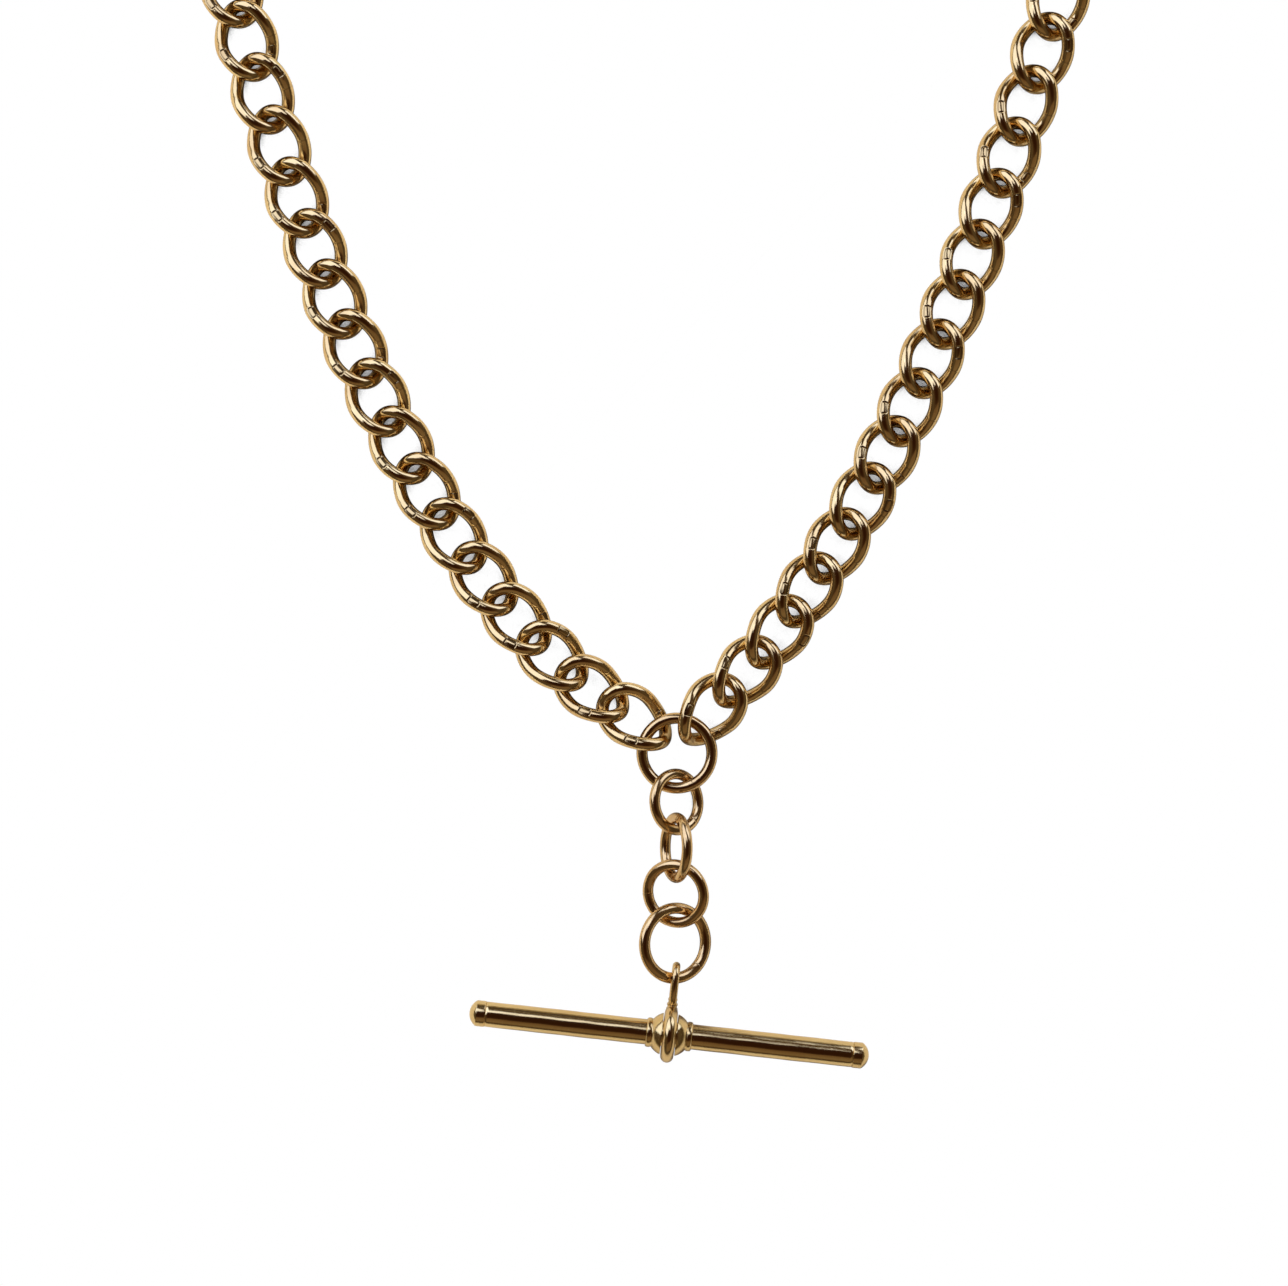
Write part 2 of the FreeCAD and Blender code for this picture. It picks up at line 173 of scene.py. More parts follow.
def hairlineGroup():
    # fine lines left by polishing along the piece, and a few longer scratches across them
    inputs = [("Place", "Vector", None), ("Along", "Float", 0.5), ("Across", "Float", 26.0),
              ("Scratches", "Float", 0.25)]
    group, source, sink = newGroup("polishLines", inputs, [("Height", "Float"), ("Lines", "Float")])
    w = Wiring(group)
    scale = w.place("CombineXYZ", {"X": source.outputs["Along"], "Y": source.outputs["Across"],
                                   "Z": source.outputs["Across"]}).outputs[0]
    fine = w.noise(w.stretched(source.outputs["Place"], scale), 1.0, 4.0, 0.6)
    first = w.noise(w.stretched(source.outputs["Place"], (9, 0.7, 5), (0.4, 0.9, 0.3)), 1.0, 2.0)
    second = w.noise(w.stretched(source.outputs["Place"], (1.1, 11, 6), (0.9, -0.5, 1.1)), 1.0, 2.0)
    thin = [w.ramp(w.sum("ABSOLUTE", w.sum("SUBTRACT", n, 0.5)), 0.012, 0.0) for n in (first, second)]
    scratch = w.sum("MULTIPLY", w.sum("MAXIMUM", thin[0], thin[1]), source.outputs["Scratches"])
    height = w.sum("SUBTRACT", w.sum("MULTIPLY", fine, 0.35), scratch)
    w.feed(sink.inputs["Height"], height)
    w.feed(sink.inputs["Lines"], w.sum("ADD", w.sum("MULTIPLY", fine, 0.4), scratch, clamp=True))
    return group


def toneGroup():
    # gold is bright where it rubs, warmer and duller where it doesn't, and dark with grime in the marks
    inputs = [("Place", "Vector", None), ("Bright", "Color", None), ("Warm", "Color", None),
              ("Grime", "Color", None), ("Mark", "Float", 0.0), ("Patch", "Float", 0.35)]
    outputs = [("Color", "Color"), ("Dull", "Float"), ("Swell", "Float")]
    group, source, sink = newGroup("goldTone", inputs, outputs)
    w = Wiring(group)
    patch = w.ramp(w.noise(source.outputs["Place"], source.outputs["Patch"], 3.0), 0.35, 0.7)
    speck = w.ramp(w.noise(source.outputs["Place"], 9.0, 5.0, 0.7), 0.62, 0.8)
    base = w.blend(patch, source.outputs["Bright"], source.outputs["Warm"])
    dirt = w.sum("MAXIMUM", source.outputs["Mark"], w.sum("MULTIPLY", speck, 0.25), clamp=True)
    w.feed(sink.inputs["Color"], w.blend(dirt, base, source.outputs["Grime"]))
    w.feed(sink.inputs["Dull"], w.sum("ADD", w.sum("MULTIPLY", patch, 0.5), w.sum("MULTIPLY", dirt, 0.7),
                                      clamp=True))
    w.feed(sink.inputs["Swell"], w.noise(source.outputs["Place"], 0.9, 2.0))
    return group


polishLines = hairlineGroup()
goldTone = toneGroup()

tones = {
    "link": {"bright": (0.87, 0.66, 0.33), "warm": (0.76, 0.53, 0.25), "rough": 0.085, "lines": 0.003},
    "ring": {"bright": (0.82, 0.59, 0.30), "warm": (0.68, 0.45, 0.21), "rough": 0.10, "lines": 0.003},
    "bar": {"bright": (0.88, 0.68, 0.34), "warm": (0.79, 0.58, 0.27), "rough": 0.10, "lines": 0.003},
    "clip": {"bright": (0.87, 0.66, 0.33), "warm": (0.75, 0.53, 0.25), "rough": 0.10, "lines": 0.003},
}
grimeColour = (0.085, 0.048, 0.018, 1)


def goldMaterial(name, tone, followsWire):
    material = bpy.data.materials.new(name)
    material.use_nodes = True
    w = Wiring(material.node_tree)
    shader = material.node_tree.nodes["Principled BSDF"]
    if followsWire:
        place = w.place("Attribute", attribute_name="grain").outputs["Vector"]
        mark = w.place("Attribute", attribute_name="mark").outputs["Fac"]
    else:
        place = w.stretched(w.place("TexCoord").outputs["Object"], (1000, 1000, 1000))
        mark = 0.0
    colours = w.place("Group", node_tree=goldTone)
    lines = w.place("Group", node_tree=polishLines)
    for group in (colours, lines):
        w.feed(group.inputs["Place"], place)
    w.feed(colours.inputs["Bright"], tone["bright"] + (1,))
    w.feed(colours.inputs["Warm"], tone["warm"] + (1,))
    w.feed(colours.inputs["Grime"], grimeColour)
    w.feed(colours.inputs["Mark"], mark)
    w.feed(shader.inputs["Base Color"], colours.outputs["Color"])
    dull = w.sum("MULTIPLY_ADD", colours.outputs["Dull"], 0.10, tone["rough"])
    w.feed(shader.inputs["Roughness"], w.sum("MULTIPLY_ADD", lines.outputs["Lines"], 0.07, dull))
    shader.inputs["Metallic"].default_value = 1.0
    height = w.sum("MULTIPLY_ADD", colours.outputs["Swell"], 3.0, lines.outputs["Height"])
    bump = w.place("Bump", {"Height": height, "Strength": 0.6, "Distance": tone["lines"] * mm})
    w.feed(shader.inputs["Normal"], bump.outputs["Normal"])
    return material


def steelMaterial():
    material = bpy.data.materials.new("springSteel")
    material.use_nodes = True
    w = Wiring(material.node_tree)
    shader = material.node_tree.nodes["Principled BSDF"]
    place = w.stretched(w.place("TexCoord").outputs["Object"], (1000, 1000, 1000))
    lines = w.place("Group", {"Place": place, "Scratches": 0.3}, node_tree=polishLines)
    tint = w.ramp(w.noise(place, 1.5), 0.35, 0.7)
    w.feed(shader.inputs["Base Color"], w.blend(tint, (0.56, 0.55, 0.53, 1), (0.40, 0.35, 0.29, 1)))
    w.feed(shader.inputs["Roughness"], w.sum("MULTIPLY_ADD", lines.outputs["Lines"], 0.2, 0.28))
    shader.inputs["Metallic"].default_value = 1.0
    bump = w.place("Bump", {"Height": lines.outputs["Height"], "Strength": 0.5, "Distance": 0.003 * mm})
    w.feed(shader.inputs["Normal"], bump.outputs["Normal"])
    return material


golds = {name: goldMaterial(name + "Gold", tone, name != "clip") for name, tone in tones.items()}
steel = steelMaterial()
print("materials made")


def arcThrough(start, corner, finish, count):
    # points on the arc that leaves start towards corner and reaches finish from it, without the last
    half = (start - corner).normalized()
    other = (finish - corner).normalized()
    bisector = (half + other).normalized()
    angle = half.angle(bisector)
    centre = corner + bisector * ((start - corner).length / math.cos(angle))
    axis = (start - centre).cross(finish - centre).normalized()
    sweep = (start - centre).angle(finish - centre)
    return [centre + Quaternion(axis, sweep * n / count) @ (start - centre) for n in range(count)]


link = {
    "halfWidth": 2.2, "halfLength": 3.12, "twist": 0.29, "wire": 0.58,  # centre line and wire, mm
    "steps": 21, "round": 40,  # points on an arc, and round the wire
    "markLength": 1.02, "markWidth": 0.60, "markDepth": 0.055, "markCorner": 0.17,  # punched blank mark
    "grooveWidth": 0.045, "lipHeight": 0.008,
    "seamDepth": 0.008, "seamWidth": 0.1, "uneven": 0.014, "rub": 0.018,
}


def linkCentreLine(d):
    side = Vector((d["halfWidth"], 0, 0))
    end = Vector((0, d["halfLength"], 0))
    sideWay = Vector((0, 1, d["twist"] * side.x)).normalized()
    endWay = Vector((-1, 0, -d["twist"] * end.y)).normalized()
    span = end - side
    turned = sideWay + endWay
    square = turned.dot(turned) - 4
    linear = -2 * span.dot(turned)
    run = (-linear - math.sqrt(linear * linear - 4 * square * span.dot(span))) / (2 * square)
    sideCorner = side + sideWay * run
    endCorner = end - endWay * run
    joint = (sideCorner + endCorner) * 0.5
    quarter = (arcThrough(side, sideCorner, joint, d["steps"]) + arcThrough(joint, endCorner, end, d["steps"])
               + [end])
    # the other quarters are half turns of this one about the link's own axes
    mirrored = [Vector((-p.x, p.y, -p.z)) for p in reversed(quarter)]
    half = quarter[:-1] + mirrored[:-1]
    return np.array(half + [Vector((-p.x, -p.y, p.z)) for p in half])


def ringCentreLine(radius, count, start):
    angles = (np.arange(count) / count + start) * 2 * math.pi
    return np.stack([radius * np.cos(angles), radius * np.sin(angles), 0 * angles], axis=1)


def distances(line):
    return np.concatenate([[0], np.cumsum(np.linalg.norm(np.diff(line, axis=0), axis=1))])


def fromSpot(along, spot, total):
    # how far places along a closed line are from a spot on it, the shorter way round
    return (along - spot + total / 2) % total - total / 2


def refine(line, spots, reach, factor):
    # more points along the stretches that hold a mark
    along = distances(np.vstack([line, line[:1]]))
    total = along[-1]
    keep = []
    for n in range(len(line)):
        near = any(abs(fromSpot(along[n], spot, total)) < reach for spot in spots)
        pieces = factor if near else 1
        keep += [along[n] + (along[n + 1] - along[n]) * k / pieces for k in range(pieces)]
    closed = np.vstack([line[-2:], line, line[:3]])
    places = np.concatenate([along[-3:-1] - total, along[:-1], total + along[:3]])
    return catmull(closed, places, np.array(keep)), np.array(keep), total


def catmull(points, places, wanted):
    # smooth curve through points at given places, read at the wanted places
    slope = np.gradient(points, places, axis=0)
    n = np.clip(np.searchsorted(places, wanted, side="right") - 1, 0, len(places) - 2)
    width = (places[n + 1] - places[n])[:, None]
    t = ((wanted - places[n])[:, None]) / width
    return ((2 * t**3 - 3 * t**2 + 1) * points[n] + (t**3 - 2 * t**2 + t) * width * slope[n]
            + (3 * t**2 - 2 * t**3) * points[n + 1] + (t**3 - t**2) * width * slope[n + 1])


def ripple(along, total, around, random, height):
    # slow unevenness of drawn and hand bent wire, closed both ways
    result = np.zeros((len(along), len(around)))
    swells = ((1, 2, 1.0), (2, 3, 0.8), (1, 5, 0.6), (2, 7, 0.45), (3, 4, 0.5), (3, 11, 0.3))
    for turns, waves, share in swells:
        phase, shift = random.uniform(0, 2 * math.pi, 2)
        result += share * np.outer(np.sin(2 * math.pi * waves * along / total + phase),
                                   np.cos(turns * around + shift))
    return result * height / 2


def punchedMark(along, total, around, wire, spot, d):
    # a blank cartouche: a sunk outline with rounded corners round a slightly raised field, on the upper side
    x = fromSpot(along, spot, total)
    y = ((around + math.pi) % (2 * math.pi) - math.pi) * wire
    halfX = d["markLength"] / 2
    halfY = d["markWidth"] / 2
    corner = d["markCorner"]
    inset = 0.05  # the groove's middle lies this far inside the outline, and the lip outside it
    qx = np.abs(x)[:, None] - halfX + corner
    qy = np.abs(y)[None, :] - halfY + corner
    edge = np.hypot(np.maximum(qx, 0), np.maximum(qy, 0)) + np.minimum(np.maximum(qx, qy), 0) - corner
    groove = np.exp(-((edge + inset) / d["grooveWidth"]) ** 2)
    field = 1 / (1 + np.exp((edge + inset) / 0.03))
    lip = np.exp(-((edge - inset) / 0.05) ** 2)
    height = -d["markDepth"] * (groove + 0.45 * field) + d["lipHeight"] * lip
    return height, np.clip(groove * 0.9 + field * 0.18, 0, 1)


fineReach, fineSteps = 0.75, 4  # mm beside a mark or the seam, and how many steps one step becomes there
grainSpread = 40  # mm: each piece takes its own stretch of the noise


def wireSurface(name, line, wire, pose, random, d, spots=()):
    # sweeps a round wire along a closed line, soldered where the line starts. Round the wire, 0 is the side
    # that looks up out of the link
    line, along, total = refine(line, list(spots) + [0], fineReach, fineSteps)
    ahead = np.roll(line, -1, axis=0) - np.roll(line, 1, axis=0)
    ahead /= np.linalg.norm(ahead, axis=1)[:, None]
    upward = np.array([0, 0, 1.0]) - ahead * ahead[:, 2:3]
    upward /= np.linalg.norm(upward, axis=1)[:, None]
    sideways = np.cross(upward, ahead)
    around = np.arange(d["round"]) * 2 * math.pi / d["round"]
    radius = wire + ripple(along, total, around, random, d["uneven"])
    mark = np.zeros_like(radius)
    for spot in spots:
        sunk, dirt = punchedMark(along, total, around, wire, spot, d)
        radius += sunk
        mark = np.maximum(mark, dirt)
    fromSeam = fromSpot(along, 0, total)[:, None]
    wander = 0.04 * np.sin(3 * around + random.uniform(0, 6))[None, :]
    seam = np.exp(-(((fromSeam + wander) / (d["seamWidth"] / 2)) ** 2))
    solder = 0.5 * np.exp(-((fromSeam / 0.35) ** 2))
    radius += d["seamDepth"] * (solder - seam)
    mark = np.maximum(mark, 0.3 * seam)
    # the ends of a link are rubbed flat on their inner side
    inward = -line / np.linalg.norm(line, axis=1)[:, None]
    direction = (np.cos(around)[None, :, None] * upward[:, None, :]
                 + np.sin(around)[None, :, None] * sideways[:, None, :])
    facing = (direction * inward[:, None, :]).sum(axis=2)
    atEnd = np.clip((np.abs(line[:, 1]) / np.abs(line[:, 1]).max() - 0.8) / 0.2, 0, 1)[:, None]
    radius -= d["rub"] * np.clip((facing - 0.6) / 0.4, 0, 1) * atEnd
    grid = line[:, None, :] + direction * radius[:, :, None]
    grain = [along[:, None], wire * np.cos(around), wire * np.sin(around)]
    grain = np.stack([np.broadcast_to(part, radius.shape) for part in grain], axis=-1)
    return skin(name, grid, True, pose, grain + random.uniform(0, grainSpread, 3), mark)


def buildLinks():
    centreLine = linkCentreLine(link)
    total = distances(np.vstack([centreLine, centreLine[:1]]))[-1]
    for node in sorted(n for n in nodes if "_link_" in n):
        number = int(node[-2:])
        random = np.random.default_rng(number + (100 if node.startswith("right") else 0))
        # most links are marked, on one of the two long sides, some on both
        places = [0.5 * total + random.uniform(0.6, 1.5)]
        if number % 3 == 0:
            places = [random.uniform(1.0, 1.7)]
        elif number % 3 == 1:
            places.append(total - random.uniform(1.0, 1.8))
        if node.startswith("right") and number % 4 == 2:
            places = places[:1]
        mesh = wireSurface(node + "_wire", centreLine, link["wire"], poseOf(node), random, link, places)
        addPiece(node + "_wire", mesh, node, golds["link"])


rings = {
    "big": (3.05, 0.495), "middle": (2.6, 0.47), "small": (2.45, 0.47),  # centre line and wire radius, mm
    "steps": 160, "round": 40, "uneven": 0.006, "seamDepth": 0.02, "seamWidth": 0.09, "rub": 0.0,
    # each ring's size, and how far round its seam is
    "built": {"centre_ring": ("big", 0.62), "drop_ring_1": ("small", 0.9), "drop_ring_2": ("middle", 0.1),
              "drop_ring_3": ("middle", 0.45), "drop_ring_4": ("big", 0.82),
              "left_end_ring": ("small", 0.3), "right_end_ring": ("small", 0.7)},
}


def buildRings():
    # plain jump rings
    for number, (node, (size, seam)) in enumerate(rings["built"].items()):
        radius, wire = rings[size]
        random = np.random.default_rng(500 + number)
        centreLine = ringCentreLine(radius, rings["steps"], seam)
        mesh = wireSurface(node + "_wire", centreLine, wire, poseOf(node), random, rings)
        addPiece(node + "_wire", mesh, node, golds["ring"])


buildLinks()
print("links made")
buildRings()
print("rings made")


def barPose():
    # the bar's axis becomes X, with the origin at its middle
    pose = poseOf("bar_tube")
    axis = (pose.to_3x3() @ Vector((0, 1, 0))).normalized()
    if axis.x < 0:
        axis = -axis
    upward = Vector((0, 0, 1))
    across = upward.cross(axis).normalized()
    turn = Matrix((axis, across, axis.cross(across))).transposed().to_4x4()
    return Matrix.Translation(pose.translation) @ turn


def lathe(name, profile, pose, random, uneven):
    # turns a profile of (place along the axis, radius) points, in mm, about X
    profile = np.array(profile, dtype=float)
    around = bar["around"]
    angles = np.arange(around) * 2 * math.pi / around
    radius = np.broadcast_to(profile[:, 1:2], (len(profile), around)).copy()
    phase = random.uniform(0, 2 * math.pi, 6)
    place = profile[:, 0:1]
    for n, (waves, turns) in enumerate(((0.35, 2), (0.8, 1), (1.7, 3))):
        radius += uneven * np.sin(waves * place + phase[n]) * np.cos(turns * angles[None, :] + phase[n + 3])
    grid = np.stack([np.broadcast_to(place, radius.shape), radius * np.cos(angles), radius * np.sin(angles)],
                    axis=-1)
    return skin(name, grid, False, pose, grid + random.uniform(0, grainSpread, 3), np.zeros(radius.shape))


def roundedProfile(points, radius, steps=5):
    # rounds the corners of a profile, keeping its first and last points
    result = [points[0]]
    for before, corner, after in zip(points, points[1:], points[2:]):
        a, b, c = Vector(before), Vector(corner), Vector(after)
        reach = min(radius, (a - b).length * 0.45, (c - b).length * 0.45)
        start = b + (a - b).normalized() * reach
        finish = b + (c - b).normalized() * reach
        for n in range(steps + 1):
            t = n / steps
            result.append(tuple(start * (1 - t) ** 2 + b * 2 * t * (1 - t) + finish * t * t))
    return result + [points[-1]]


bar = {
    "length": 35.0, "radius": 1.1, "wall": 0.3, "cap": 1.4, "lip": 0.03, "dome": 0.62,
    # the gap between the ball's halves takes the shackle's band
    "ballRadius": 1.93, "ballGap": 0.63, "ballEnd": 1.42, "ballLength": 2.0,
    "shoulder": ((1.47, 1.23), (1.56, 1.23), (1.60, 1.28), (1.90, 1.28)),  # place and radius beside the ball
    "edge": 0.05, "capRound": 0.09, "uneven": 0.006, "ballUneven": 0.004, "around": 72,
}


def buildBar():
    d = bar
    pose = barPose()
    random = np.random.default_rng(71)
    start = d["length"] / 2 - d["cap"]
    inner = d["radius"] - d["wall"]
    stretch = [(x, d["radius"]) for x in np.linspace(-start + d["edge"], start - d["edge"], 141)]
    ends = [(-start, inner), (-start, d["radius"] - d["edge"])]
    outside = ends + stretch + [(-x, r) for x, r in reversed(ends)]
    mesh = lathe("barTubeTurned", outside, pose, random, d["uneven"])
    addPiece("bar_tube_turned", mesh, "bar_tube", golds["bar"])
    for side, turned in (("right", 0), ("left", math.pi)):
        place = pose @ Matrix.Rotation(turned, 4, "Z")
        rim = d["radius"] + d["lip"]
        domeSize = (rim**2 + d["dome"] ** 2) / (2 * d["dome"])
        reach = math.acos(1 - d["dome"] / domeSize)
        tip = d["length"] / 2
        dome = [(tip - domeSize + domeSize * math.cos(a), domeSize * math.sin(a))
                for a in np.linspace(reach, 0.012, 22)]
        wall = [(start, inner), (start, rim), (tip - d["dome"], rim)]
        profile = roundedProfile(wall + dome[1:3], d["capRound"]) + dome[3:]
        mesh = lathe("barCapTurned", profile, place, random, d["uneven"] / 2)
        addPiece(f"bar_cap_{side}_turned", mesh, f"bar_cap_{side}", golds["bar"])
        # each half of the ball: a lobe beside the shackle's eye, and a bead where it meets the bar
        fit = 0.02  # between the collar and the bar, and off the band
        inside = d["ballGap"] + fit
        foot = d["radius"] + fit
        stops = np.linspace(inside, d["ballEnd"], 20)
        lobe = [(x, math.sqrt(d["ballRadius"] ** 2 - x * x)) for x in stops]
        profile = roundedProfile([(inside, foot)] + lobe[:1] + lobe[3:5], 0.14)[:-1] + lobe[4:]
        profile += roundedProfile(list(d["shoulder"]) + [(d["ballLength"], 1.18)], 0.06, 3)
        mesh = lathe("barCollarTurned", profile + [(d["ballLength"], foot)], place, random, d["ballUneven"])
        addPiece(f"bar_collar_{side}_turned", mesh, f"bar_collar_{side}", golds["bar"])


buildBar()
print("bar made")


def soften(piece, voxel, passes):
    # joins a piece's parts into one skin and wears its edges round
    remesh = piece.modifiers.new("even", "REMESH")
    remesh.mode = "VOXEL"
    remesh.voxel_size = voxel * mm
    smooth = piece.modifiers.new("worn", "SMOOTH")
    smooth.factor = 0.5
    smooth.iterations = passes
    depsgraph = bpy.context.evaluated_depsgraph_get()
    done = bpy.data.meshes.new_from_object(piece.evaluated_get(depsgraph))
    piece.modifiers.clear()
    piece.data = done
    done.shade_smooth()


def softened(node, name, wear, shape=None):
    # the node's own solid, softened, then shaped
    mesh = nodes[node].data.copy()
    mesh.materials.clear()
    piece = addPiece(name, mesh, node, golds["clip"])
    soften(piece, *wear)
    if shape is not None:
        points = shape(vertsOf(piece))
        piece.data.vertices.foreach_set("co", points.ravel())
        piece.data.update()


def clipFrame(prefix):
    # the clip's own axis, from the eye to the hook, and its middle
    collarEnd = poseOf(prefix + "_swivel").translation
    hookEnd = poseOf(prefix + "_clip_body").translation
    way = (hookEnd - collarEnd)
    way.z = 0
    return np.array(collarEnd), np.array(way.normalized())


clip = {
    # voxel size in mm and smoothing passes for each softened piece
    "body": (0.07, 6), "lever": (0.05, 5), "swivel": (0.055, 5), "pin": (0.04, 3),
    "grooves": (0.45, 0.85, 3.05), "grooveDepth": 0.10, "grooveWidth": 0.11,  # mm from the collar's start
    "collarReach": (1.3, 1.9),  # the radii between which the collar's outside lies
}


def ringedCollar(prefix):
    # turned grooves round the clip's collar
    origin, way = clipFrame(prefix)
    body = vertsOf(nodes[prefix + "_clip_body"]) - origin
    start = (body @ way).min() / mm
    grooves = [start + place for place in clip["grooves"]]
    nearest, farthest = clip["collarReach"]

    def shape(points):
        relative = points - origin
        along = relative @ way / mm
        spoke = relative - np.outer(relative @ way, way)
        reach = np.linalg.norm(spoke, axis=1) / mm
        sunk = np.zeros(len(points))
        for place in grooves:
            sunk += clip["grooveDepth"] * np.exp(-(((along - place) / clip["grooveWidth"]) ** 2))
        sunk *= (reach > nearest) & (reach < farthest) & (along < grooves[-1] + 0.5)
        return points - spoke * (sunk / np.maximum(reach, 0.01))[:, None]

    return shape


def buildClips():
    for prefix in ("left", "right"):
        softened(prefix + "_clip_body", prefix + "_clip_body_cast", clip["body"], ringedCollar(prefix))
        softened(prefix + "_clip_lever", prefix + "_clip_lever_filed", clip["lever"])
        softened(prefix + "_swivel", prefix + "_swivel_eye", clip["swivel"])
        softened(prefix + "_lever_pin", prefix + "_lever_pin_riveted", clip["pin"])
        leaf = nodes[prefix + "_lever_spring"]
        leaf.data.materials.clear()
        leaf.data.materials.append(steel)


shackle = {
    "eye": 1.9, "band": 0.57, "loopHalfWidth": 1.1, "loopWire": 0.34, "loopTop": 6.0, "neck": 2.75,  # mm
    # the turned neck, from the band to the loop: place and radius
    "turning": ((1.95, 0.52), (2.30, 0.50), (2.44, 0.38), (2.53, 0.46), (2.62, 0.48), (2.71, 0.46),
                (2.80, 0.37), (2.92, 0.36), (3.00, 0.42), (3.08, 0.42), (3.16, 0.36), (3.30, 0.33)),
    "bandSteps": 96, "voxel": 0.045, "passes": 3,
}


def shacklePose():
    # Y runs up the shackle from the bar's axis, and X is along the bar
    lying = poseOf("shackle").to_3x3()
    band, long = lying.col[2], lying.col[1]
    turn = Matrix((band, long, band.cross(long))).transposed().to_4x4()
    return Matrix.Translation(barPose().translation) @ turn


def closedGrid(grid):
    # a grid of rings as vertices and faces, its ends capped
    rows, columns = grid.shape[:2]
    index = np.arange(rows * columns).reshape(rows, columns)
    quads = np.stack([index[:-1], np.roll(index[:-1], -1, 1), np.roll(index[1:], -1, 1), index[1:]], axis=-1)
    return grid.reshape(-1, 3), quads.reshape(-1, 4).tolist() + [index[0][::-1].tolist(), index[-1].tolist()]


def tube(points, radii, around=24):
    # rings square to a path that lies in the plane X = 0
    points = np.array(points)
    ahead = np.gradient(points, axis=0)
    ahead /= np.linalg.norm(ahead, axis=1)[:, None]
    side = np.array([1.0, 0, 0])
    angles = np.arange(around) * 2 * math.pi / around
    ring = (np.cos(angles)[None, :, None] * side
            + np.sin(angles)[None, :, None] * np.cross(ahead, side)[:, None, :])
    return points[:, None, :] + ring * np.reshape(radii, (-1, 1, 1))


def buildShackle():
    d = shackle
    up = Vector((0, 1, 0))  # from the bar towards the last ring
    out = Vector((0, 0, 1))
    shoulder = up * (d["loopTop"] - d["loopHalfWidth"]) + out * d["loopHalfWidth"]
    neck = up * d["neck"] + out * d["loopWire"]
    drop = shoulder.y - neck.y
    run = (drop**2 + (shoulder.z - neck.z) ** 2) / (2 * drop)
    strand = arcThrough(neck, shoulder - up * run, shoulder, 16)
    crown = [Vector((0, shoulder.y + d["loopHalfWidth"] * math.sin(t), d["loopHalfWidth"] * math.cos(t)))
             for t in np.linspace(0, math.pi, 20)]
    mirrored = [Vector((0, p.y, -p.z)) for p in reversed(strand)]
    loop = tube(strand + crown + mirrored, np.full(len(strand) * 2 + len(crown), d["loopWire"]))
    turning = tube([(0, y, 0) for y, r in d["turning"]], [r for y, r in d["turning"]])
    angles = np.arange(d["bandSteps"] + 1) * 2 * math.pi / d["bandSteps"]
    circle = [(0, d["eye"] * math.cos(t), d["eye"] * math.sin(t)) for t in angles]
    band = tube(circle, np.full(len(circle), d["band"]), 32)
    pose = shacklePose()
    points, faces = [], []
    for grid in (loop, turning, band):
        corners, sides = closedGrid(grid)
        faces += [[n + len(points) for n in side] for side in sides]
        points += [pose @ Vector(p) for p in corners * mm]
    mesh = bpy.data.meshes.new("shackleParts")
    mesh.from_pydata(points, [], faces)
    piece = addPiece("shackle_soldered", mesh, "shackle", golds["clip"])
    soften(piece, d["voxel"], d["passes"])


buildShackle()
buildClips()
print("shackle and clips made")


table = {
    "half": 1.5, "gap": 0.02 * mm,  # m: half its side, and how far it lies under the pieces
    # painted shade: the second colour is the paper where pieces crowd it, the third the dark sheet seen from
    # above in the tightest holes
    "paper": (0.85, 0.76, 0.58, 1), "shaded": (0.10, 0.07, 0.04, 1), "paintedHoleShade": (0.04, 0.02, 0.01, 1),
    "crowdReach": 3.5 * mm,
}


def buildFloor():
    d = table
    mesh = bpy.data.meshes.new("table")
    corners = [(-1, -1), (1, -1), (1, 1), (-1, 1)]
    level = cadBox[0][2] - d["gap"]
    mesh.from_pydata([(x * d["half"], y * d["half"], level) for x, y in corners], [], [(0, 1, 2, 3)])
    floor = bpy.data.objects.new("table", mesh)
    bpy.context.collection.objects.link(floor)
    material = bpy.data.materials.new("tablePaperPaintedShade")
    material.use_nodes = True
    shader = material.node_tree.nodes["Principled BSDF"]
    w = Wiring(material.node_tree)
    # the metal mirrors it as paper that the lamps light and the pieces shade, and with painted shade: the
    # paper's colour darkens where ambient occlusion finds pieces crowding it, and its faint glow fades there.
    # From above it shows as white, with painted shade as a dark sheet only in the tightest holes between the
    # pieces, and it hides nothing that swings below it
    seen = w.place("LightPath").outputs["Is Camera Ray"]
    below = w.place("NewGeometry").outputs["Backfacing"]
    crowd = w.place("AmbientOcclusion", {"Distance": d["crowdReach"]}, samples=16).outputs["AO"]
    # painted shade masks from ambient occlusion: darker paper where pieces crowd it, and from above a dark
    # sheet in the tightest holes
    openness = w.ramp(crowd, 0.30, 0.80)
    shade = w.ramp(crowd, 0.31, 0.20)
    paper = w.blend(openness, d["shaded"], d["paper"])
    w.feed(shader.inputs["Base Color"], w.blend(seen, paper, d["paintedHoleShade"]))
    # a faint painted glow of the paper where it is open, fading where the painted shade falls
    w.feed(shader.inputs["Emission Strength"], w.sum("MULTIPLY", openness, 0.03))
    solid = w.sum("MULTIPLY", w.sum("SUBTRACT", 1, seen), w.sum("SUBTRACT", 1, below))
    w.feed(shader.inputs["Alpha"], w.sum("MULTIPLY_ADD", seen, shade, solid))
    shader.inputs["Roughness"].default_value = 0.9
    shader.inputs["Emission Color"].default_value = (1, 1, 1, 1)
    floor.data.materials.append(material)


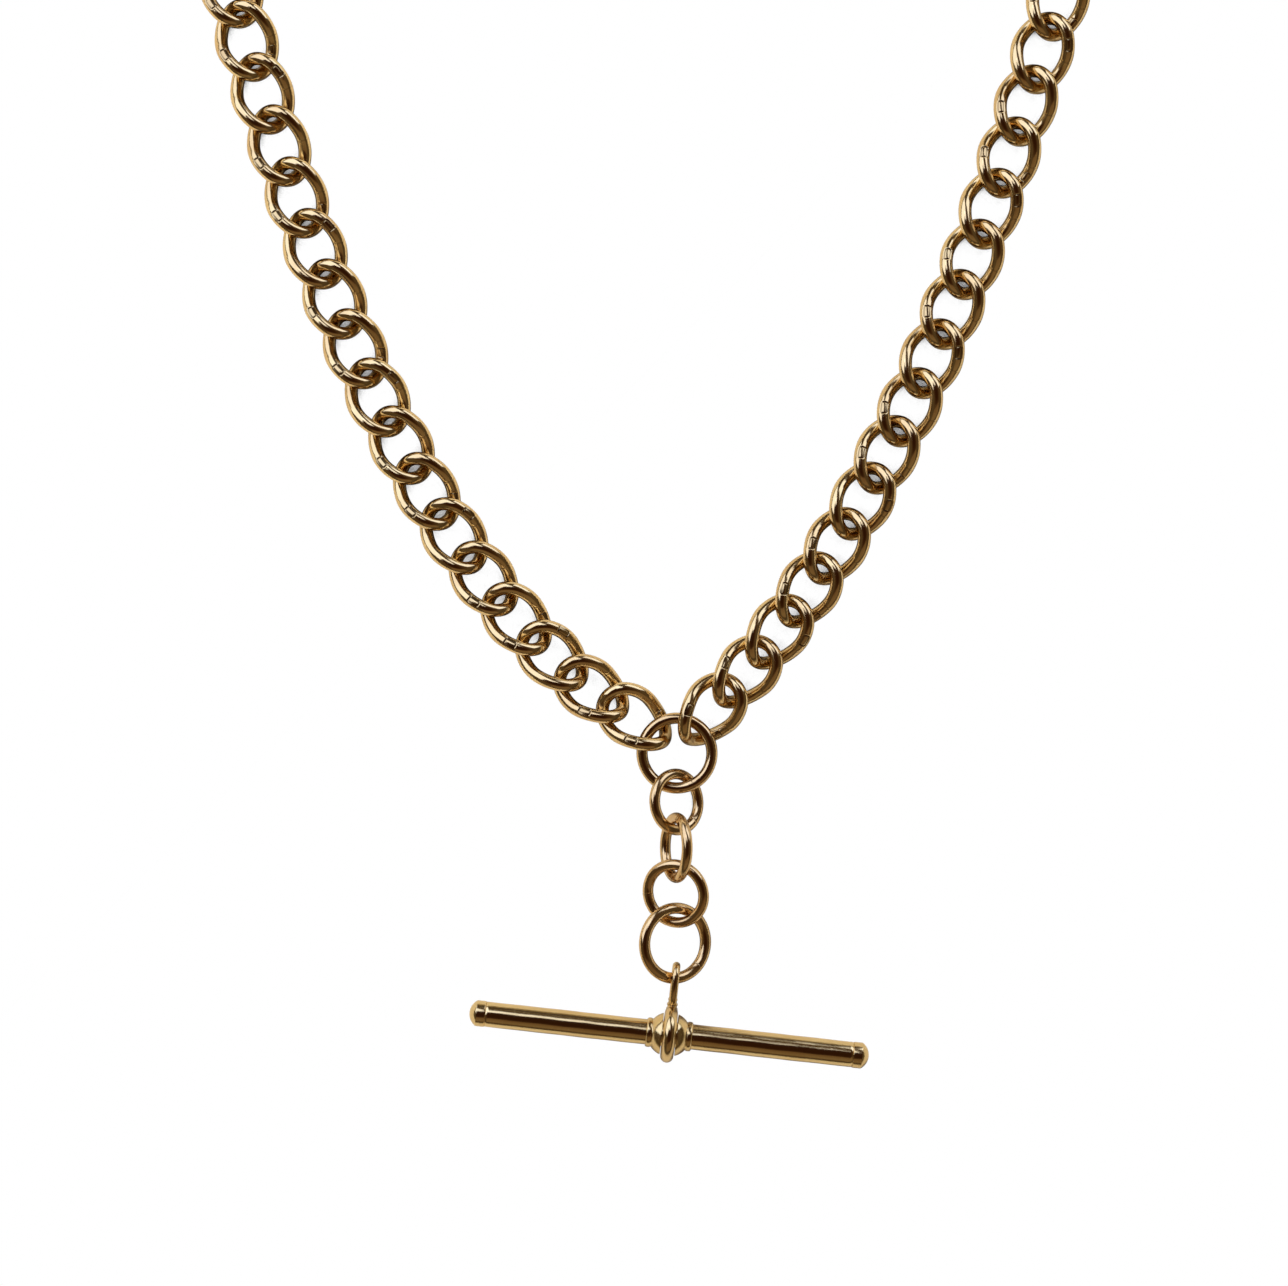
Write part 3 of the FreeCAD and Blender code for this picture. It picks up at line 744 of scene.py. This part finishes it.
def addLight(name, d):
    lamp = bpy.data.lights.new(name, "AREA")
    lamp.shape = "RECTANGLE"
    lamp.size = d["width"]
    lamp.size_y = d["height"]
    lamp.energy = d["glow"] * math.pi * d["width"] * d["height"]  # glow is how bright its face looks
    lamp.color = d["colour"]
    obj = bpy.data.objects.new(name, lamp)
    # it faces the object, with its width towards and away from it
    out = Vector(d["place"]).normalized()
    level = Vector((0, 0, 1)).cross(out).normalized()
    if d["width"] < d["height"]:
        turn = Matrix((out.cross(level) * -1, level, out)).transposed()
    else:
        turn = Matrix((level, out.cross(level), out)).transposed()
    obj.matrix_world = Matrix.Translation(Vector(d["place"])) @ turn.to_4x4()
    obj.visible_glossy = d["mirrored"]
    obj.visible_camera = False
    bpy.context.collection.objects.link(obj)


daylight = (0.84, 0.94, 1.28)
warmLight = (1, 0.68, 0.38)
keyLight = (1, 0.98, 0.95)
# place, width and height in m. The metal doesn't mirror the key, which only lights the table
lights = {
    "windowLeft": {"place": (-0.42, 0.40, 0.40), "width": 0.84, "height": 0.62, "glow": 1.4,
                   "colour": daylight, "mirrored": True},
    "windowRight": {"place": (0.42, 0.52, 0.27), "width": 0.60, "height": 0.38, "glow": 1.4,
                    "colour": daylight, "mirrored": True},
    "panelAbove": {"place": (-0.05, 0.35, 0.61), "width": 0.22, "height": 0.26, "glow": 1.3,
                   "colour": daylight, "mirrored": True},
    "roomBehind": {"place": (0.10, -0.56, 0.46), "width": 0.90, "height": 0.50, "glow": 0.10,
                   "colour": warmLight, "mirrored": True},
    "key": {"place": (-0.50, 0.46, 0.46), "width": 0.30, "height": 0.30, "glow": 26.0,
            "colour": keyLight, "mirrored": False},
}


room = {
    "level": (0.50, 0.44, 0.34, 1), "overhead": (0.026, 0.009, 0.003, 1), "backdrop": (1, 1, 1, 1),
    # colours between the two, by the height of the direction
    "between": {0.06: (0.26, 0.22, 0.16, 1), 0.16: (0.055, 0.038, 0.021, 1), 0.55: (0.095, 0.068, 0.038, 1),
                0.80: (0.060, 0.032, 0.015, 1), 0.94: (0.030, 0.010, 0.003, 1)},
}


def buildWorld():
    world = bpy.data.worlds.new("room")
    bpy.context.scene.world = world
    world.use_nodes = True
    w = Wiring(world.node_tree)
    background = world.node_tree.nodes["Background"]
    direction = w.place("TexCoord").outputs["Generated"]
    height = w.place("SeparateXYZ", {"Vector": direction}).outputs["Z"]
    ramp = w.place("ValToRGB", {"Fac": height})
    for position, colour in room["between"].items():
        ramp.color_ramp.elements.new(position).color = colour
    ramp.color_ramp.elements[0].color = room["level"]
    ramp.color_ramp.elements[-1].color = room["overhead"]
    seen = w.place("LightPath").outputs["Is Camera Ray"]
    w.feed(background.inputs["Color"], w.blend(seen, ramp.outputs["Color"], room["backdrop"]))


view = {"fromRing": (-2.88, 9.61), "level": 2, "width": 112.4, "lens": 100, "sensor": 36}  # mm


def buildView():
    # straight down, aimed beside the centre ring
    scene = bpy.context.scene
    scene.view_settings.view_transform = "Standard"
    ring = poseOf("centre_ring").translation
    aside, along = view["fromRing"]
    target = Vector((ring.x + aside * mm, ring.y + along * mm, view["level"] * mm))
    camera = bpy.data.cameras.new("camera")
    camera.lens = view["lens"]
    camera.sensor_width = view["sensor"]
    camera.clip_start = 0.01
    obj = bpy.data.objects.new("camera", camera)
    obj.location = target + Vector((0, 0, view["width"] * mm * view["lens"] / view["sensor"]))
    bpy.context.collection.objects.link(obj)
    scene.camera = obj


buildFloor()
for name, d in lights.items():
    addLight(name, d)
buildWorld()
buildView()
print("stage made")
